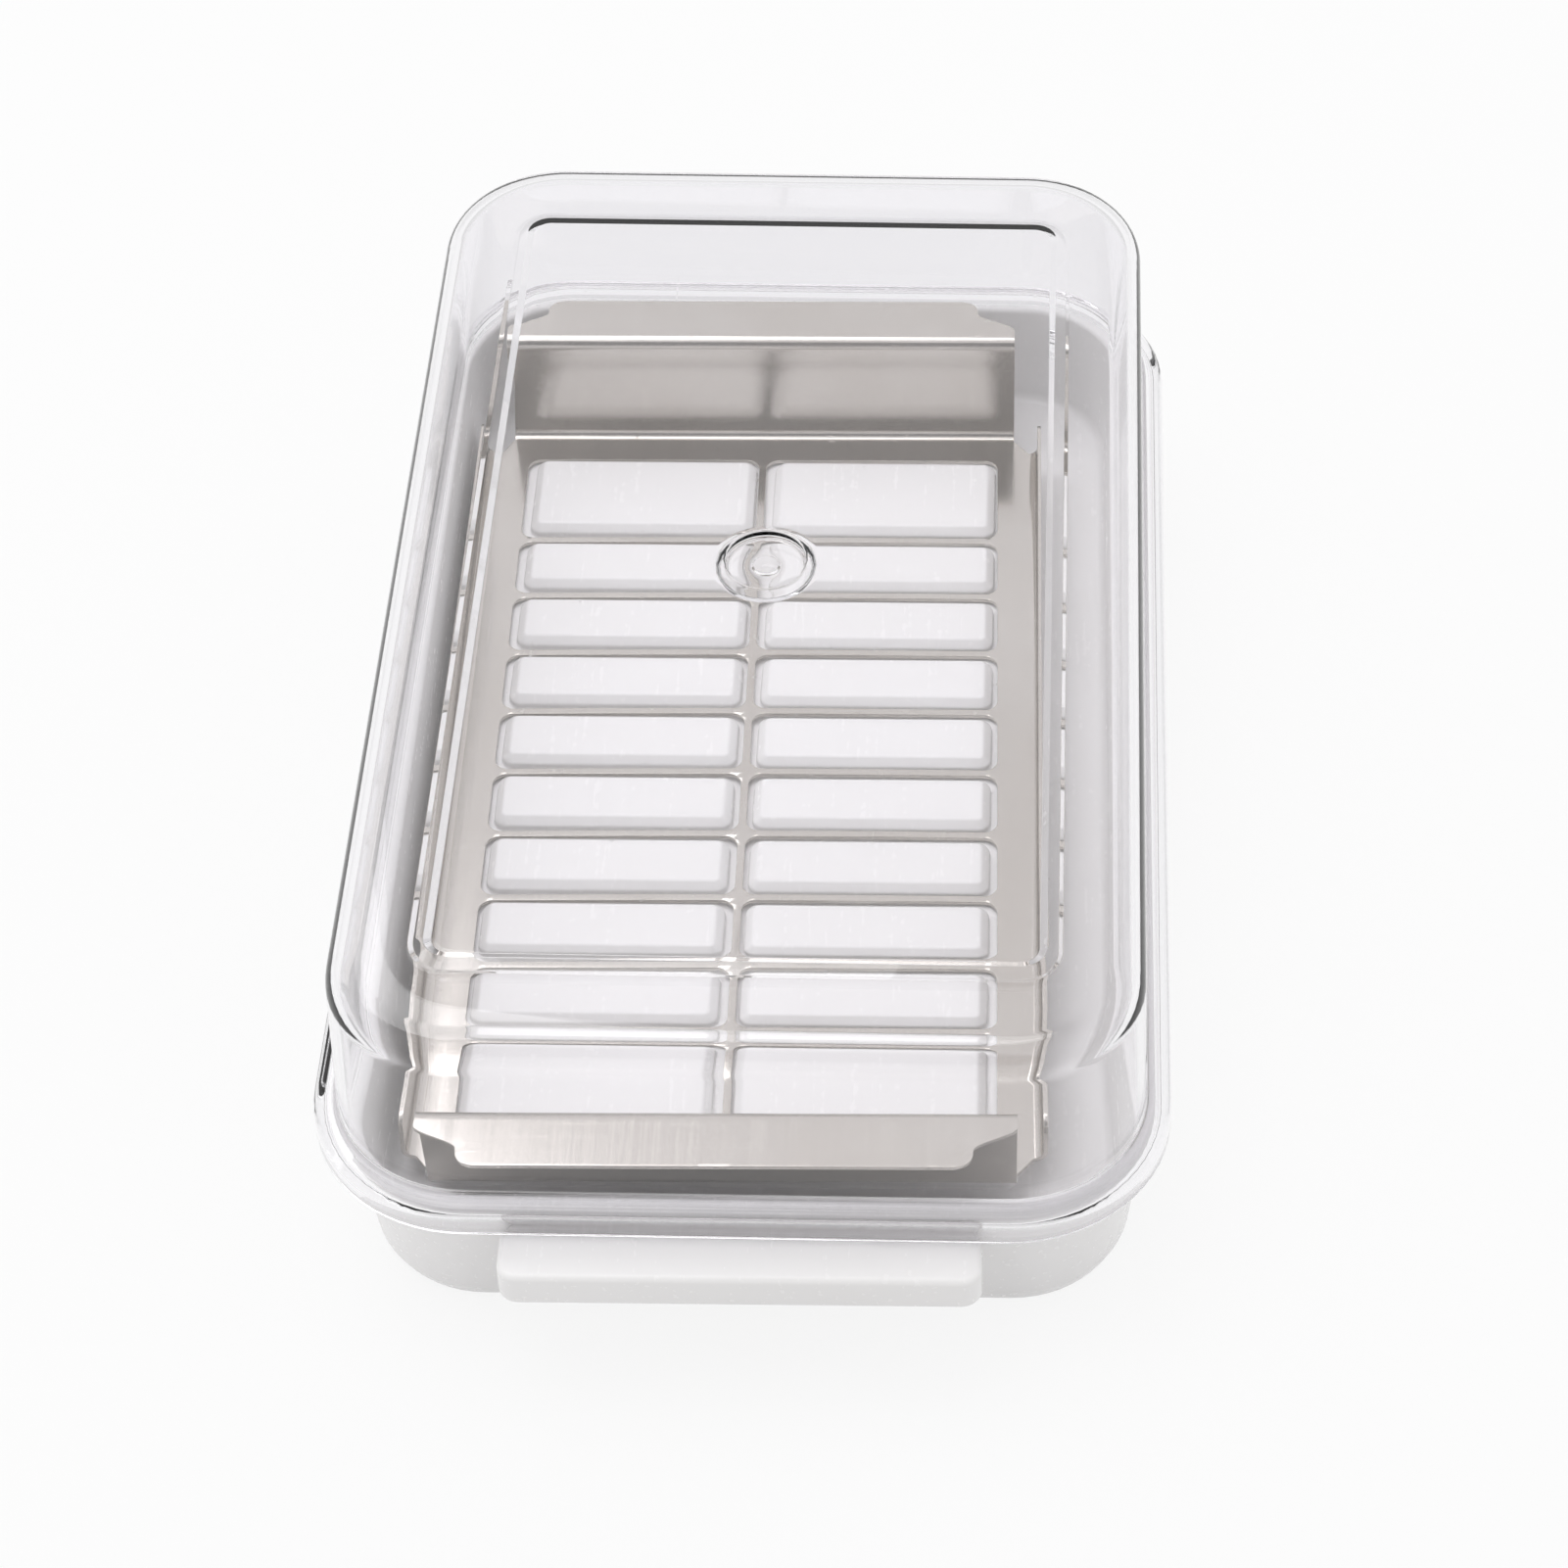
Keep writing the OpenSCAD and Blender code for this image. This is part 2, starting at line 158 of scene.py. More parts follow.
# a finished piece: its mesh in metres, riding on its body; edges of more than 35 degrees
# stay sharp
def makePiece(name, points, faces, material, body, nodes):
    mesh = bpy.data.meshes.new(name)
    mesh.from_pydata((np.asarray(points) * mm).tolist(), [], faces)
    mesh.validate()
    mesh.polygons.foreach_set("use_smooth", np.ones(len(mesh.polygons), bool))
    mesh.set_sharp_from_angle(angle=math.radians(35))
    mesh.materials.append(material)
    piece = bpy.data.objects.new(name, mesh)
    bpy.context.scene.collection.objects.link(piece)
    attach(piece, body)
    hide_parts(*nodes)
    print("made", name, len(mesh.polygons), "faces")
    return piece


# a shader value that can be written in sums
class Value:
    def __init__(self, shader, socket):
        self.shader, self.socket = shader, socket

    def maths(self, operation, other, swap=False):
        first, second = (other, self) if swap else (self, other)
        return self.shader.node("ShaderNodeMath", {"operation": operation}, {0: first, 1: second})

    def __add__(self, other):
        return self.maths("ADD", other)

    def __radd__(self, other):
        return self.maths("ADD", other, True)

    def __sub__(self, other):
        return self.maths("SUBTRACT", other)

    def __rsub__(self, other):
        return self.maths("SUBTRACT", other, True)

    def __mul__(self, other):
        return self.maths("MULTIPLY", other)

    def __rmul__(self, other):
        return self.maths("MULTIPLY", other, True)


# a material's or the sky's node tree
class Shader:
    def __init__(self, owner, kind="Material"):
        owner.use_nodes = True
        self.owner, self.kind, self.tree = owner, kind, owner.node_tree
        self.tree.nodes.clear()

    # any node: its type, its settings and the values or links of its sockets
    def node(self, kind, settings, sockets, output=0):
        made = self.tree.nodes.new(kind)
        for key, setting in settings.items():
            setattr(made, key, setting)
        for key, value in sockets.items():
            if isinstance(value, Value):
                self.tree.links.new(value.socket, made.inputs[key])
            else:
                made.inputs[key].default_value = value
        return Value(self, made.outputs[output])

    def place(self, scale=(1, 1, 1), turn=(0, 0, 0)):
        place = self.node("ShaderNodeTexCoord", {}, {}, "Object")
        return self.node("ShaderNodeMapping", {}, {"Vector": place, "Scale": scale, "Rotation": turn})

    # noise of a scale in repeats to the metre
    def noise(self, place, scale, detail):
        return self.node("ShaderNodeTexNoise", {"noise_dimensions": "3D"},
                         {"Vector": place, "Scale": scale, "Detail": detail, "Roughness": 0.5})

    def step(self, value, low, high):
        return self.node("ShaderNodeMapRange", {"interpolation_type": "SMOOTHSTEP"},
                         {"Value": value, "From Min": low, "From Max": high})

    # sockets 6 and 7 of the node hold its two colours
    def mixColour(self, share, first, second):
        return self.node("ShaderNodeMix", {"data_type": "RGBA"},
                         {0: share, 6: first, 7: second}, output=2)

    def bump(self, height, distance):
        return self.node("ShaderNodeBump", {},
                         {"Height": height, "Distance": distance, "Strength": 1.0})

    def finish(self, surface):
        out = self.tree.nodes.new("ShaderNodeOutput" + self.kind)
        self.tree.links.new(surface.socket, out.inputs["Surface"])
        return self.owner


def newMaterial(name):
    return Shader(bpy.data.materials.new(name))


whitePlastic = {
    "colour": (0.885, 0.874, 0.872, 1),
    "shadeColour": (0.865, 0.853, 0.848, 1),
    "roughness": 0.24,
    "roughnessSpread": 0.06,
    "moulding": 0.00002,  # depth of the moulding's slow waves, in metres
    "cloudScale": 22,
    "grainScale": 900,
    "scuffScale": 1500,
    "waveScale": 60,
    "scuffBearing": 0.5,
}


def whitePlasticMaterial():
    s, w = newMaterial("whitePlastic"), whitePlastic
    place = s.place()
    cloud = s.noise(place, w["cloudScale"], 3)
    grain = s.noise(place, w["grainScale"], 2)
    scuffs = s.noise(s.place((1, 0.06, 1), (0, 0, w["scuffBearing"])), w["scuffScale"], 2)
    waves = s.noise(place, w["waveScale"], 1)
    surface = s.node("ShaderNodeBsdfPrincipled", {}, {
        "Base Color": s.mixColour(s.step(cloud, 0.35, 0.75), w["colour"], w["shadeColour"]),
        "Roughness": w["roughness"] + w["roughnessSpread"] * s.step(scuffs * 0.6 + grain * 0.4, 0.45, 0.75),
        "IOR": 1.49,
        "Normal": s.bump(waves + grain * 0.04, w["moulding"]),
    })
    return s.finish(surface)


steel = {
    "colour": (0.61, 0.578, 0.545, 1),
    "warmColour": (0.58, 0.545, 0.508, 1),
    "roughness": 0.13,
    "roughnessSpread": 0.08,
    "dents": 0.00005,  # depth of the sheet's slow waves
    "lines": 0.0000012,  # depth of its rolling lines
    "cloudScale": 45,
    "lineScale": 2600,
    "scratchScale": 1900,
    "waveScale": 32,
    "scratchBearing": 0.35,
}


def steelMaterial():
    s, w = newMaterial("polishedSteel"), steel
    place = s.place()
    cloud = s.noise(place, w["cloudScale"], 3)
    rolled = s.noise(s.place((1, 0.02, 1)), w["lineScale"], 3)
    scratch = s.noise(s.place((0.03, 1, 1), (0, 0, w["scratchBearing"])), w["scratchScale"], 2)
    waves = s.noise(place, w["waveScale"], 1)
    lines = s.step(rolled, 0.35, 0.7) * 0.6 + s.step(scratch, 0.58, 0.7) * 0.4
    surface = s.node("ShaderNodeBsdfPrincipled", {}, {
        "Base Color": s.mixColour(s.step(cloud, 0.35, 0.7), w["colour"], w["warmColour"]),
        "Metallic": 1.0,
        "Roughness": w["roughness"] + w["roughnessSpread"] * lines,
        "Normal": s.bump(waves + lines * (w["lines"] / w["dents"]), w["dents"]),
    })
    return s.finish(surface)


clearPlastic = {
    "colour": (0.953, 0.947, 0.962, 1),
    "roughness": 0.008,
    "scuffRoughness": 0.16,
    "ior": 1.53,
    "ripple": 0.00002,  # depth of the moulding's slow waves
    "throughLamps": (0.9, 0.898, 0.91, 1),  # how much lamp light goes straight through
    "hairScales": (1300, 1500),
    "hairBearings": (0.7, 0.35),
    "patchScale": 26,
    "dustScale": 700,
    "rippleScale": 40,
}


def clearPlasticMaterial():
    s, w = newMaterial("clearPlastic"), clearPlastic
    place = s.place()
    hairA = s.noise(s.place((1, 0.012, 1), (0, 0, w["hairBearings"][0])), w["hairScales"][0], 1)
    hairB = s.noise(s.place((0.012, 1, 1), (0, 0, w["hairBearings"][1])), w["hairScales"][1], 1)
    patches = s.step(s.noise(place, w["patchScale"], 2), 0.45, 0.7)
    scratches = s.step(hairA, 0.68, 0.72) + s.step(hairB, 0.69, 0.73)
    dust = s.step(s.noise(place, w["dustScale"], 1), 0.74, 0.8)
    wear = (scratches * patches + dust) * 0.5
    glass = s.node("ShaderNodeBsdfPrincipled", {}, {
        "Base Color": w["colour"],
        "Roughness": w["roughness"] + w["scuffRoughness"] * wear,
        "IOR": w["ior"],
        "Transmission Weight": 1.0,
        "Normal": s.bump(s.noise(place, w["rippleScale"], 1) + wear * 0.05, w["ripple"]),
    })
    through = s.node("ShaderNodeBsdfTransparent", {}, {"Color": w["throughLamps"]})
    isShadow = s.node("ShaderNodeLightPath", {}, {}, "Is Shadow Ray")
    return s.finish(s.node("ShaderNodeMixShader", {}, {0: isShadow, 1: glass, 2: through}))


whiteFinish = whitePlasticMaterial()
steelFinish = steelMaterial()
clearFinish = clearPlasticMaterial()
print("finishes made")

tray = {
    "height": trayHigh[2],
    "wall": 2.0,
    "floor": 6.3,  # height of the floor's upper face
    "hollow": 4.5,  # height of the hollow below it
    "inner": 14.5,  # radius of the inner wall from the corner centres, at the rim
    "draft": 1.8,
    "footRound": 3.0,
    "footRing": 1.0,
    "footEdge": (1.05, 2.4),  # how far in and how high the foot's rounding reaches
    "mouthWider": 0.1,  # the mouth's edge, beyond the inner wall
    # roundings from the hollow out and down, up to the rim and in to the floor
    "rounds": (1.0, 0.5, 0.3, 1.2, 2.0, 0.5, 0.4, 0.7, 0.9, 1.6),
    "poleGap": 1.0,  # radius at which the skin closes to its pole
    "tabWide": 58.0,
    "tabHigh": 18.5,  # height of the tab's top
    "tabThick": 4.9,
    "tabRoot": 0.8,  # how far the tab goes into the wall
    "tabCorner": 2.5,
    "tabWall": 1.5,  # the tab is hollow from below
    "tabRounds": (0.4, 0.2, 0.35, 0.8),  # from inside the hollow, round its lower edge, to the top
}


# the tray: one profile from the hollow under the floor, round the foot and the rim, to the
# floor's upper face, carried round the corner arcs
def trayPiece():
    t = tray
    outer = t["inner"] + t["wall"]
    foot = outer - t["draft"]
    lipUnder = t["height"] - t["wall"]
    edgeIn, edgeHigh = t["footEdge"]
    outsideAndRim = roundedProfile(
        [(t["poleGap"], t["hollow"]), (foot - t["wall"], t["hollow"]), (foot - t["wall"], t["footRound"]),
         (foot - t["footRound"] - t["footRing"], 0), (foot - edgeIn, 0), (foot, edgeHigh),
         (outer, lipUnder), (box["trayRim"], lipUnder), (box["trayRim"], t["height"]),
         (t["inner"] + t["mouthWider"], t["height"]), (t["inner"] - t["draft"], t["floor"]),
         (t["poleGap"], t["floor"])],
        [0, *t["rounds"], 0])
    path = ringPath(14, 10, 8)
    rings = profileRings(path, box["cornerX"], box["cornerY"], outsideAndRim)
    body = ringSkin(rings, (0, 0, t["hollow"]), (0, 0, t["floor"]))

    # the tab: a slab with soft edges, hollow from below, its root inside the wall
    tip = box["middle"] - trayLow[1]
    root = box["cornerY"] + outer - t["tabRoot"]
    corner, halfL = t["tabCorner"], (tip - root) / 2
    high, wall = t["tabHigh"], t["tabWall"]
    low = high - t["tabThick"]
    slab = roundedProfile(
        [(0.2, high - wall), (corner - wall, high - wall), (corner - wall, low),
         (corner, low), (corner, high), (0.2, high)],
        [0, *t["tabRounds"], 0], 5)
    tabPath = ringPath(8, 3, 16)
    tabRings = profileRings(tabPath, t["tabWide"] / 2 - corner, halfL - corner, slab)
    shift = np.array([0, -(tip + root) / 2, 0])
    tab = ringSkin(tabRings + shift, (0, shift[1], high - wall), (0, shift[1], high))
    points, faces = joinSkins([body, tab])
    return makePiece("tray", points + [0, box["middle"], 0], faces, whiteFinish, "tray", ["tray"])


grid = {
    "fieldW": 67.8,  # width and length of all the windows together
    "fieldL": 124.4,
    "bar": 1.0,
    "pitch": 11.35,
    "bars": 9,
    "windowRound": 1.8,
    "turn": math.radians(0.5),  # the cutter lies slightly turned over the pads
}
grid["window"] = (grid["fieldW"] - grid["bar"]) / 2
barPlaces = (np.arange(grid["bars"]) - (grid["bars"] - 1) / 2) * grid["pitch"]
rowEdges = np.concatenate([[-grid["fieldL"] / 2 - grid["bar"] / 2], barPlaces,
                           [grid["fieldL"] / 2 + grid["bar"] / 2]])
rowStarts, rowEnds = rowEdges[:-1] + grid["bar"] / 2, rowEdges[1:] - grid["bar"] / 2

pads = {
    "sideGap": 0.85,  # from a pad to the window round it, along a bar
    "endGap": 0.6,  # the same, across the bars
    "slope": 1.1,
    "corner": 1.7,
    "floorCorner": 2.0,  # corner radius of the raised floor
    "floorRound": 0.4,  # rounding of its upper edge
    "floorSunk": 0.15,  # how far it goes into the tray's floor
    "sunk": 0.1,  # how far a pad goes into the raised floor
    "foot": 0.3,  # how much wider a pad is at its lowest point, and how high its foot stands
    "footHigh": 0.25,
    "edge": 0.7,  # rounding of its upper edges
}


# the raised floor and the pads on it; each pad's sides run down through a soft fillet
def padsPiece():
    p, top, floor = pads, padsTop, padsBottom
    low, high, sunk = floorLow[2] - p["floorSunk"], floorHigh[2], floor - p["sunk"]
    corner = p["corner"]
    side = roundedProfile(
        [(0.2, sunk), (corner + p["foot"], sunk), (corner + p["foot"] / 2, floor),
         (corner, floor + p["footHigh"]), (corner, top - p["slope"]),
         (corner - p["slope"], top), (0.1, top)],
        [0, 0, 0, 0.2, p["edge"], p["edge"], 0], 6)
    path = ringPath(6, 4, 8)
    skins = []
    for start, end in zip(rowStarts, rowEnds):
        halfX = grid["window"] / 2 - p["sideGap"] - corner
        halfY = (end - start) / 2 - p["endGap"] - corner
        rings = profileRings(path, halfX, halfY, side)
        for x in (-1, 1):
            place = np.array([x * (grid["bar"] + grid["window"]) / 2, (start + end) / 2, 0])
            skins.append(ringSkin(rings + place, place + [0, 0, sunk], place + [0, 0, top]))
    edge = p["floorCorner"]
    half = (floorHigh - floorLow) / 2 - edge
    slab = roundedProfile([(0.2, low), (edge, low), (edge, high), (0.2, high)],
                          [0, 0, p["floorRound"], 0], 5)
    rings = profileRings(path, half[0], half[1], slab)
    skins.append(ringSkin(rings, (0, 0, low), (0, 0, high)))
    points, faces = joinSkins(skins)
    return makePiece("pads", points + box["gridPlace"], faces, whiteFinish, "tray",
                     ["pads", "raised_floor"])


cutter = {
    "sheet": 0.6,
    "flatW": 76.8,  # the plate between its bends
    "flatL": 133.0,
    "cornerCut": 2.6,
    "endWide": 72.6,
    "bend": 1.2,
    "lean": math.radians(7),
    "wallHigh": 16.3,
    "flange": 7.4,
    "sideHigh": 6.5,
    "sideCorner": 2.0,
    "bow": 0.35,  # how far the middle of the plate stands above its edges
    "edge": 0.13,  # width of the worn edge
    "tipRound": 2.2,  # corner radius of the finger flange's tip
    "swingStart": 1.2,  # where the flange's S begins, how long it is and how deep it cuts in
    "swingLong": 3.6,
    "swingDeep": 5.3,
}


# one side of a window from corner to corner: how far along it each point lies, and how
# far in from the side's line, on the half arcs at both ends and evenly between them
def windowSide(length, radius, arcSteps, straightSteps):
    turn = np.linspace(np.pi / 4, 0, arcSteps + 1)
    along, inward = radius * (1 - np.sin(turn)), radius * (1 - np.cos(turn))
    middle = np.linspace(radius, length - radius, straightSteps + 1)[1:-1]
    along = np.concatenate([along, middle, length - along[::-1]])
    inward = np.concatenate([inward, middle * 0, inward[::-1]])
    return along[:-1], inward[:-1]


# one window's share of the plate: a ring of quads from the share's own outline to the
# window's round-cornered edge, each point on a straight line between the two
def windowCell(low, high, holeLow, holeHigh, corners):
    wide, long = holeHigh - holeLow
    radius = grid["windowRound"]
    alongX, inX = windowSide(wide, radius, 4, 8)
    alongY, inY = windowSide(long, radius, 4, 3)
    fillX, fillY = np.ones_like(alongX), np.ones_like(alongY)
    hole = np.concatenate([
        np.stack([holeLow[0] + alongX, holeLow[1] + inX], 1),
        np.stack([holeHigh[0] - inY, holeLow[1] + alongY], 1),
        np.stack([holeHigh[0] - alongX, holeHigh[1] - inX], 1),
        np.stack([holeLow[0] + inY, holeHigh[1] - alongY], 1)])
    outline = np.concatenate([
        np.stack([holeLow[0] + alongX, low[1] * fillX], 1),
        np.stack([high[0] * fillY, holeLow[1] + alongY], 1),
        np.stack([holeHigh[0] - alongX, high[1] * fillX], 1),
        np.stack([low[0] * fillY, holeHigh[1] - alongY], 1)])
    starts = np.cumsum([0, len(alongX), len(alongY), len(alongX)])
    ends = [(low[0], low[1]), (high[0], low[1]), (high[0], high[1]), (low[0], high[1])]
    for number, (start, end) in enumerate(zip(starts, ends)):
        outline[start] = end
        if number in corners:  # the plate's own cut corner
            cutAlongX = (math.copysign(cutter["endWide"] / 2, end[0]), end[1])
            cutAlongY = (end[0], math.copysign(cutter["flatL"] / 2 - cutter["cornerCut"], end[1]))
            before, after = (cutAlongY, cutAlongX) if number in (0, 2) else (cutAlongX, cutAlongY)
            outline[start - 1], outline[start + 1] = before, after
            outline[start] = (np.array(before) + after) / 2
    count = len(hole)
    index = np.arange(count)
    after = np.roll(index, -1)
    quads = np.stack([index, after, after + count, index + count], 1)
    return np.concatenate([outline, hole]), quads


# strip: a profile (outwards, up, share of the length kept) carried along places on an
# edge; each point is the edge's place times the share
def edgeStrip(places, edge, profile, alongX):
    share = profile[:, 2, None] * places[None]
    outwards = np.broadcast_to(edge + profile[:, 0, None], share.shape)
    up = np.broadcast_to(profile[:, 1, None], share.shape)
    rows, columns = share.shape
    index = np.arange(rows * columns).reshape(rows, columns)
    a, b, c, d = index[:-1, :-1], index[1:, :-1], index[1:, 1:], index[:-1, 1:]
    if alongX:
        points = np.stack([share, outwards, up], 2).reshape(-1, 3)
        quads = np.stack([a, d, c, b], 2).reshape(-1, 4)
    else:
        points = np.stack([outwards, share, up], 2).reshape(-1, 3)
        quads = np.stack([a, b, c, d], 2).reshape(-1, 4)
    return points, quads


# the end wall's section: an arc up, a straight lean outwards, an arc back to level and
# the flange, which narrows in an S to a tip with round corners
def endProfile():
    c = cutter
    up = math.pi / 2 - c["lean"]
    outer = c["bend"] + c["sheet"]
    rise = c["wallHigh"] - (outer + c["bend"]) * (1 - math.cos(up))
    turn = np.linspace(0, up, 9)
    foot = np.stack([c["bend"] * np.sin(turn), c["bend"] * (1 - np.cos(turn))], 1)
    climb = np.linspace(0, 1, 6)[1:, None] * [rise * math.tan(c["lean"]), rise]
    head = np.stack([outer * (np.sin(up) - np.sin(turn[::-1])),
                     outer * (np.cos(turn[::-1]) - np.cos(up))], 1)
    wall = np.concatenate([foot, foot[-1] + climb])
    wall = np.concatenate([wall, wall[-1] + head[1:]])
    tip, tipStart = c["tipRound"], c["flange"] - c["tipRound"]
    # points close together along the S and round the tip
    tipReach = c["flange"] - tip * np.cos(np.linspace(0, np.pi / 2, 10))
    reach = np.unique(np.concatenate([np.linspace(0.4, 4.6, 15), tipReach, [c["flange"]]]))
    swing = np.clip((reach - c["swingStart"]) / c["swingLong"], 0, 1)
    half = c["endWide"] / 2 - c["swingDeep"] * swing * swing * (3 - 2 * swing)
    past = np.clip(reach - tipStart, 0, tip)
    half -= tip - np.sqrt(tip ** 2 - past ** 2)
    level = np.full_like(reach, wall[-1, 1])
    flange = np.stack([wall[-1, 0] + reach, level, half * 2 / c["endWide"]], 1)
    wall = np.concatenate([wall, np.ones((len(wall), 1))], 1)
    return np.concatenate([wall, flange])


# the side flange's section: a quarter arc and a straight rise whose ends are rounded
def sideProfile(halfLong):
    c, corner = cutter, cutter["sideCorner"]
    turn = np.linspace(0, np.pi / 2, 9)
    arc = np.stack([c["bend"] * np.sin(turn), c["bend"] * (1 - np.cos(turn)), turn * 0 + 1], 1)
    start = c["sideHigh"] - corner
    high = start + corner * np.sin(np.linspace(0, np.pi / 2, 8))
    kept = 1 - (corner - np.sqrt(np.maximum(corner ** 2 - (high - start) ** 2, 0))) / halfLong
    rise = np.stack([high * 0 + c["bend"], high, kept], 1)
    return np.concatenate([arc, rise])


# the cutter: the plate's windows, four strips along its edges, then the sheet's thickness
def cutterPiece():
    c = cutter
    halfW, halfL = c["flatW"] / 2, c["flatL"] / 2
    plan, quads, offset = [], [], 0
    lastRow = len(rowStarts) - 1
    corners = {(0, False): [0], (0, True): [1], (lastRow, True): [2], (lastRow, False): [3]}
    for row, (start, end) in enumerate(zip(rowStarts, rowEnds)):
        lowY = -halfL if row == 0 else start - grid["bar"] / 2
        highY = halfL if row == lastRow else end + grid["bar"] / 2
        for right in (False, True):
            low = np.array([0 if right else -halfW, lowY])
            high = np.array([halfW if right else 0, highY])
            inner = grid["bar"] / 2
            holeLow = np.array([inner if right else -grid["fieldW"] / 2, start])
            holeHigh = np.array([grid["fieldW"] / 2 if right else -inner, end])
            points, faces = windowCell(low, high, holeLow, holeHigh, corners.get((row, right), []))
            plan.append(points)
            quads.append(faces + offset)
            offset += len(points)
    plan, quads = np.concatenate(plan), np.concatenate(quads)
    bow = c["bow"] * (1 - (plan[:, 0] / halfW) ** 2) * (1 - (plan[:, 1] / halfL) ** 2)
    points = [np.column_stack([plan, bow])]
    faces = [quads]
    straightL = halfL - c["cornerCut"]
    x, y, slack = plan[:, 0], plan[:, 1], 1e-6
    onSide = np.unique(np.round(y[(x > halfW - slack) & (np.abs(y) < straightL + slack)], 5))
    onEnd = np.unique(np.round(x[(y > halfL - slack) & (np.abs(x) < c["endWide"] / 2 + slack)], 5))
    for strip, stripFaces in (edgeStrip(onSide, halfW, sideProfile(straightL), False),
                              edgeStrip(onEnd, halfL, endProfile(), True)):
        for half in (1, -1):
            points.append(strip * [half, half, 1])
            faces.append(stripFaces + offset)
            offset += len(strip)
    points, faces = np.concatenate(points), np.concatenate(faces)
    welded, place = np.unique(np.round(points, 4), axis=0, return_inverse=True)
    faces = place.ravel()[faces]
    turned = turnAbout(welded, grid["turn"]) + box["gridPlace"] + [0, 0, plateTop]
    faces = [tuple(dict.fromkeys(face)) for face in faces.tolist()]
    faces = [face for face in faces if len(face) > 2]
    nodes = ["cutter_near_end", "cutter_far_end", "cutter_left_side", "cutter_right_side",
             "cutter_centre_bar", "cutter_cross_bars"]
    piece = makePiece("cutter", turned, faces, steelFinish, "cutter", nodes)
    sheet = piece.modifiers.new("sheet", "SOLIDIFY")
    sheet.thickness, sheet.offset = c["sheet"] * mm, -1
    sheet.use_even_offset, sheet.use_quality_normals = True, True
    edges = piece.modifiers.new("edges", "BEVEL")
    edges.width, edges.segments = c["edge"] * mm, 2
    edges.limit_method, edges.angle_limit = "ANGLE", math.radians(50)
    piece.modifiers.new("normals", "WEIGHTED_NORMAL")
    return piece


cover = {
    "wall": 1.6,
    "rim": 20.0,  # radius of the rim from the corner centres
    "foot": 17.0,  # the same for the foot of the wall
    "draft": 0.9,
    "shoulder": 48.7,  # height of the top round the panel
    "topEdge": 4.4,
    "innerEdge": 3.0,
    "rimHigh": 4.5,
    "rimRound": 2.0,  # rounding of the rim's upper edge and of the lip's lower one
    "lipRound": 0.75,
    "lip": 1.6,
    "flatLong": 8.0,  # how far in from the wall the first flat of the top is carried
    "panelSlope": 1.9,
    "panelInset": 9.8,
    "panelEndInset": 12.2,
    "panelCorner": 5.0,
    "stepRound": 0.3,
    "stepFlats": (0.9, 1.2),  # flat kept below and above the step
    "innerSmaller": 0.8,  # how much smaller the panel is on the inner face, on every side
    "stepBack": 0.6,  # how far it is set back there, chosen for the look
    "dimple": 5.3,
    "dimpleDeep": 1.2,
    "dimpleFlat": 0.9,  # flat kept round it, on both faces
    "dimpleSlope": 0.35,
    "dimpleRounds": (0.35, 0.3, 0.15, 0.15),
    "nub": 1.9,  # radius and height of the nub in the dimple
    "nubHigh": 0.25,
    "nubSlope": 0.3,
    "bossWider": 1.0,  # the dimple's other face, inside the cover
    "bossSlope": 0.2,
    "bossRounds": (0.4, 0.3),
    "middle": 0.25,  # radius at which the skin closes to its poles
    "wallRound": 0.9,  # rounding between the rim and the wall
    "innerRounds": (0.5, 0.5, 0.35),  # inside, from the wall's foot to the lip
}


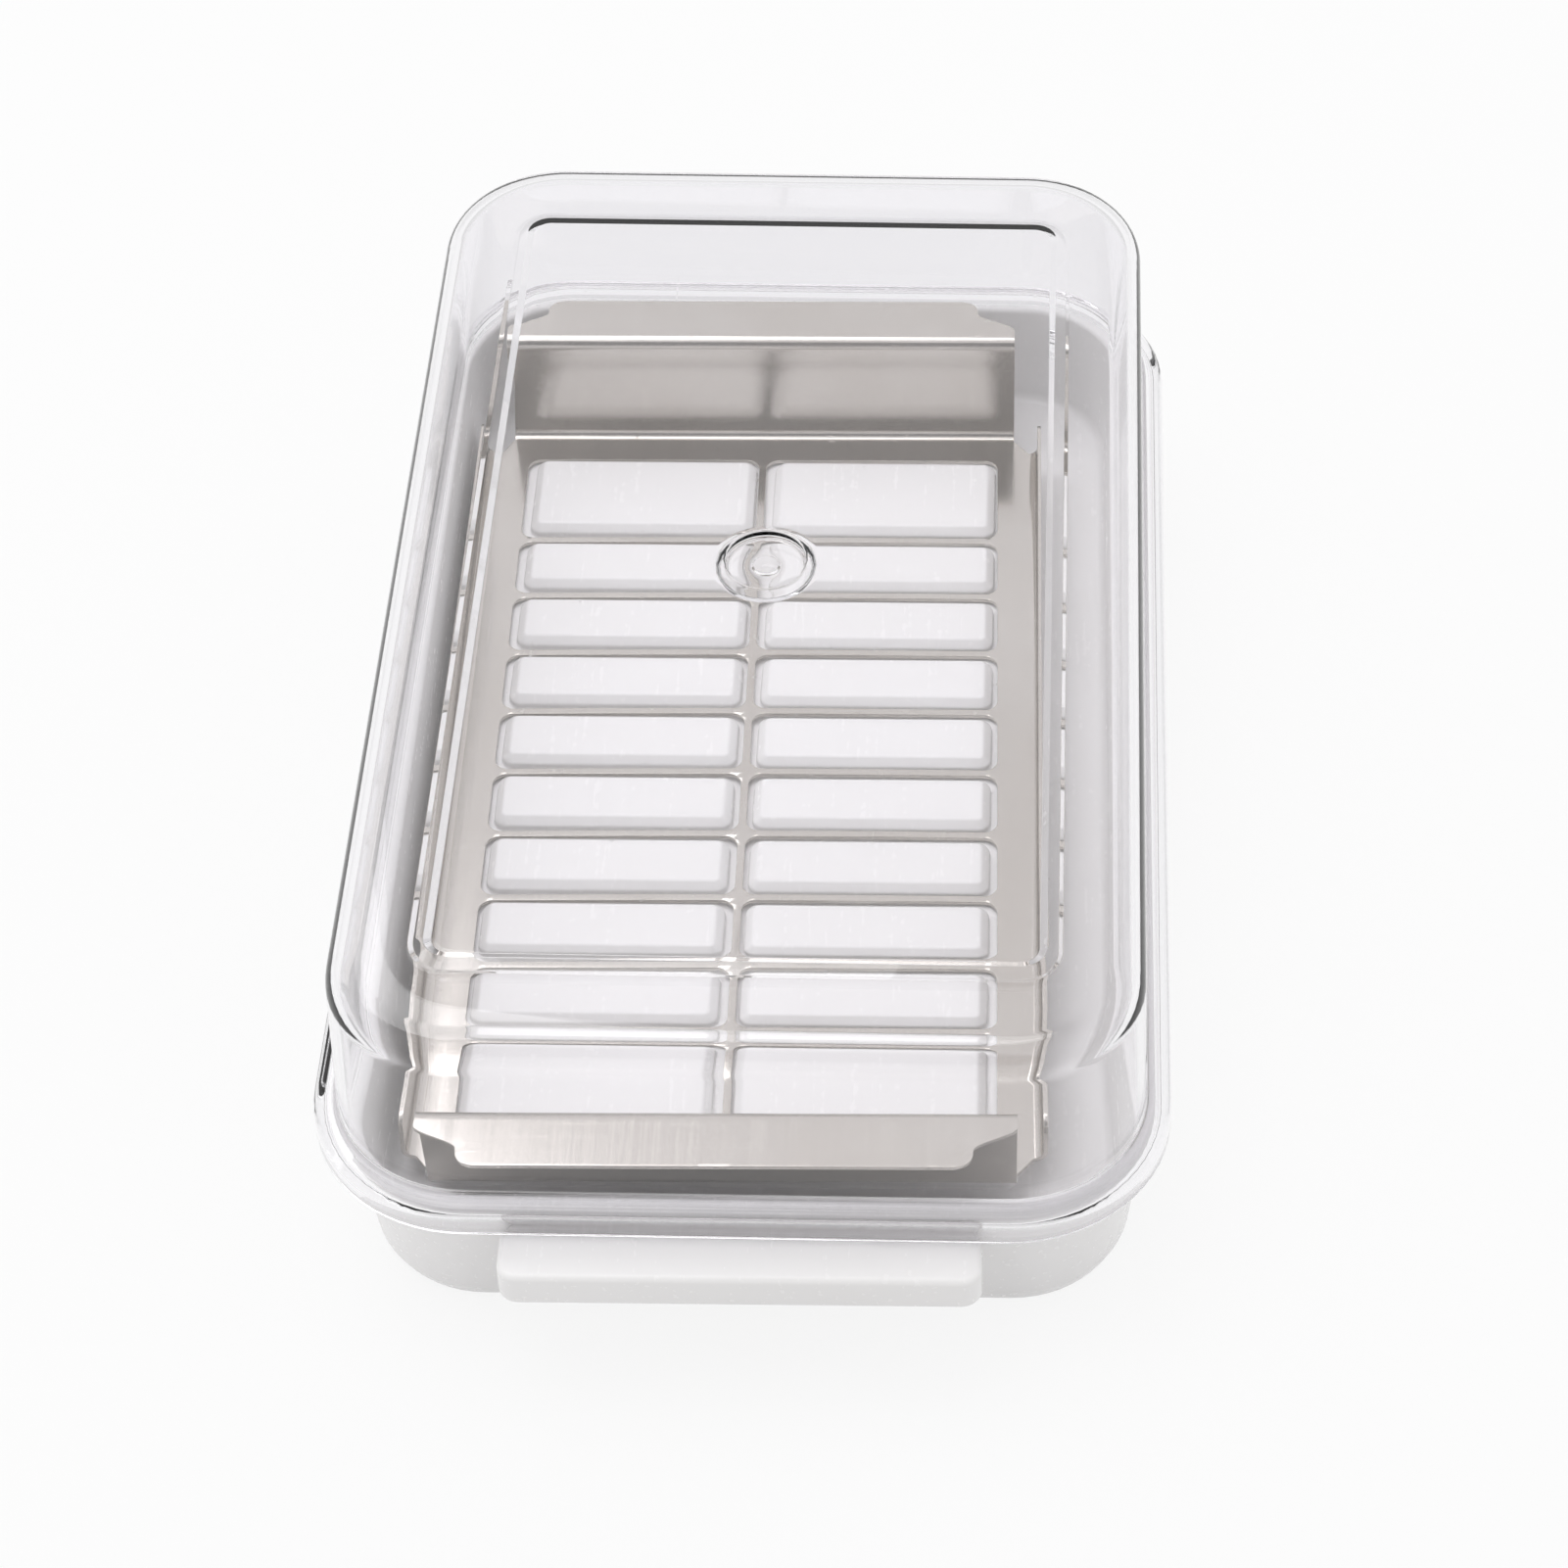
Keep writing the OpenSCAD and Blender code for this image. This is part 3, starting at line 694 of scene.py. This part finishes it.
# the cover: from the middle of its inner face, out and down inside, round the lip, up
# outside and in again to the middle of the dimple
def coverPiece():
    c = cover
    rimTop = lipLow + c["rimHigh"]
    rimUnder = rimTop - c["wall"]
    under = c["shoulder"] - c["wall"]
    outerTop = c["foot"] - c["draft"]
    lipInner = c["rim"] - c["lip"]
    flatEnd = outerTop - c["flatLong"]
    path = ringPath(16, 12, 9)
    outside = roundedProfile(
        [(lipInner, lipLow), (c["rim"], lipLow), (c["rim"], rimTop), (c["foot"], rimTop),
         (outerTop, c["shoulder"]), (flatEnd, c["shoulder"])],
        [0, c["lipRound"], c["rimRound"], c["wallRound"], c["topEdge"], 0], 12)[1:]
    inside = roundedProfile(
        [(flatEnd, under), (outerTop - c["wall"], under),
         (c["foot"] - c["wall"], rimUnder), (lipInner, rimUnder), (lipInner, lipLow), (c["rim"], lipLow)],
        [0, c["innerEdge"], *c["innerRounds"], 0], 9)[:-1]

    panelX = box["cornerX"] + outerTop - c["panelInset"] - c["panelCorner"]
    panelY = box["cornerY"] + outerTop - c["panelEndInset"] - c["panelCorner"]

    # the panel's step, seen from above or from below
    def panelStep(corner, low, high):
        flatLow, flatHigh = c["stepFlats"]
        return roundedProfile([(corner + flatLow, low), (corner, low), (corner - c["panelSlope"], high),
                               (corner - c["panelSlope"] - flatHigh, high)],
                              [0, c["stepRound"], c["stepRound"], 0], 6)

    stepOut = profileRings(path, panelX, panelY, panelStep(c["panelCorner"], c["shoulder"], coverTop))
    underTop = coverTop - c["wall"]
    innerStep = panelStep(c["panelCorner"] - c["innerSmaller"], under, underTop)
    stepIn = profileRings(path, panelX, panelY, innerStep) + [0, c["stepBack"], 0]
    guide, low = stepOut[-1], coverTop - c["dimpleDeep"]
    nubTop = low + c["nubHigh"]
    dimpleOut = roundRings(guide, roundedProfile(
        [(c["dimple"] + c["dimpleFlat"], coverTop), (c["dimple"], coverTop),
         (c["dimple"] - c["dimpleSlope"], low), (c["nub"], low), (c["nub"] - c["nubSlope"], nubTop),
         (c["middle"], nubTop)],
        [0, *c["dimpleRounds"], 0], 5))
    boss, underLow = c["dimple"] + c["bossWider"], low - c["wall"]
    bossIn = roundRings(guide, roundedProfile(
        [(boss + c["dimpleFlat"], underTop), (boss, underTop), (boss - c["bossSlope"], underLow),
         (c["middle"], underLow)],
        [0, *c["bossRounds"], 0], 5))
    shell = [bossIn[::-1], stepIn[::-1],
             profileRings(path, box["cornerX"], box["cornerY"], inside),
             profileRings(path, box["cornerX"], box["cornerY"], outside), stepOut, dimpleOut]
    rings = np.concatenate(shell)
    points, faces = ringSkin(rings, (0, 0, underLow), (0, 0, dimpleOut[-1, 0, 2]))
    points = turnAbout(points, box["coverTurn"]) + [0, box["middle"], 0]
    nodes = ["cover_top", "cover_sides", "cover_corners"]
    return makePiece("cover", points, faces, clearFinish, "cover", nodes)


trayPiece()
padsPiece()
cutterPiece()
coverPiece()


# the plain room: a floor, and a white sky with one darker patch on the viewer's side
room = {
    "floorSize": 6.0,
    "floorColour": (0.72, 0.72, 0.72, 1),
    "floorWhite": 0.86,  # share of plain white in what the camera sees of the floor
    "sky": 1.0,
    "skyLow": 0.74,  # share of it at the horizon
    "skyFull": 0.5,  # sine of the height angle from which it is full
    "patch": 0.22,  # brightness of the dark patch
    "patchPlace": (0.0, -0.743, 0.669),  # direction of its middle
    "patchEdge": (0.91, 0.98),  # cosines of its outer and inner edge
    "overheadPlace": (-0.25, 0.2, 0.9),  # of the lamp, which shines at the origin
    "overheadSize": 0.7,
    "overheadPower": 2.9,
}


# 1 for rays from the camera, straight, mirrored or through clear plastic
def seenRay(s):
    kinds = ("Is Camera Ray", "Is Glossy Ray", "Is Transmission Ray")
    straight, mirrored, through = (s.node("ShaderNodeLightPath", {}, {}, kind) for kind in kinds)
    return s.node("ShaderNodeMath", {"operation": "MINIMUM"}, {0: straight + mirrored + through, 1: 1.0})


def makeFloor():
    half = room["floorSize"] / 2
    mesh = bpy.data.meshes.new("floor")
    corners = [(-half, -half, 0), (half, -half, 0), (half, half, 0), (-half, half, 0)]
    mesh.from_pydata(corners, [], [(0, 1, 2, 3)])
    floor = bpy.data.objects.new("floor", mesh)
    bpy.context.scene.collection.objects.link(floor)
    s = newMaterial("floor")
    matte = s.node("ShaderNodeBsdfDiffuse", {}, {"Color": room["floorColour"]})
    white = s.node("ShaderNodeEmission", {}, {"Color": (1, 1, 1, 1), "Strength": 1.0})
    both = s.node("ShaderNodeMixShader", {}, {0: seenRay(s) * room["floorWhite"], 1: matte, 2: white})
    mesh.materials.append(s.finish(both))


def makeSky():
    world = bpy.data.worlds.new("sky")
    bpy.context.scene.world = world
    s = Shader(world, "World")
    direction = s.node("ShaderNodeTexCoord", {}, {}, "Generated")
    near = s.node("ShaderNodeVectorMath", {"operation": "DOT_PRODUCT"},
                  {0: direction, 1: room["patchPlace"]}, output=1)
    height = s.node("ShaderNodeSeparateXYZ", {}, {0: direction}, output=2)
    level = room["sky"] * (room["skyLow"] + (1 - room["skyLow"]) * s.step(height, 0.0, room["skyFull"]))
    level = level * (1 - (1 - room["patch"]) * s.step(near, *room["patchEdge"]))
    camera = s.node("ShaderNodeLightPath", {}, {}, "Is Camera Ray")
    strength = level * (1 - camera) + camera
    s.finish(s.node("ShaderNodeBackground", {}, {"Color": (1, 1, 1, 1), "Strength": strength}))


def makeLamp():
    lamp = bpy.data.lights.new("overhead", "AREA")
    lamp.shape, lamp.size, lamp.energy = "SQUARE", room["overheadSize"], room["overheadPower"]
    holder = bpy.data.objects.new("overhead", lamp)
    bpy.context.scene.collection.objects.link(holder)
    place = Vector(room["overheadPlace"])
    holder.location = place
    holder.rotation_euler = (-place).to_track_quat("-Z", "Y").to_euler()


# the photograph's camera: its place in millimetres, bearing, height angle and roll
view = {
    "place": (32.146, -405.957, 440.142),
    "bearing": -0.011716,
    "dip": 0.769827,
    "roll": 0.001119,
    "focal": 2.79859,  # focal length as a share of the picture's width
    "sensor": 36.0,
    "shift": (-0.123738, -0.123735),  # the picture's middle lies off the lens's axis
}


def makeCamera():
    cosDip, sinDip = math.cos(view["dip"]), math.sin(view["dip"])
    forward = Vector((math.sin(view["bearing"]) * cosDip, math.cos(view["bearing"]) * cosDip, -sinDip))
    right = forward.cross(Vector((0, 0, 1))).normalized()
    up = right.cross(forward)
    cosRoll, sinRoll = math.cos(view["roll"]), math.sin(view["roll"])
    right, up = right * cosRoll + up * sinRoll, up * cosRoll - right * sinRoll
    data = bpy.data.cameras.new("camera")
    data.sensor_width, data.sensor_fit = view["sensor"], "HORIZONTAL"
    data.lens = view["sensor"] * view["focal"]
    data.shift_x, data.shift_y = view["shift"]
    data.clip_start, data.clip_end = 0.01, 50
    camera = bpy.data.objects.new("camera", data)
    bpy.context.scene.collection.objects.link(camera)
    turn = Matrix((right, up, -forward)).transposed().to_4x4()
    camera.matrix_world = Matrix.Translation(Vector(view["place"]) * mm) @ turn
    bpy.context.scene.camera = camera


makeFloor()
makeSky()
makeLamp()
makeCamera()
bpy.context.scene.view_settings.view_transform = "Standard"
# enough bounces for light that stays within the clear walls for long
bpy.context.scene.cycles.max_bounces = 64
bpy.context.scene.cycles.transmission_bounces = 64
bpy.context.view_layer.update()
print("room and camera made")
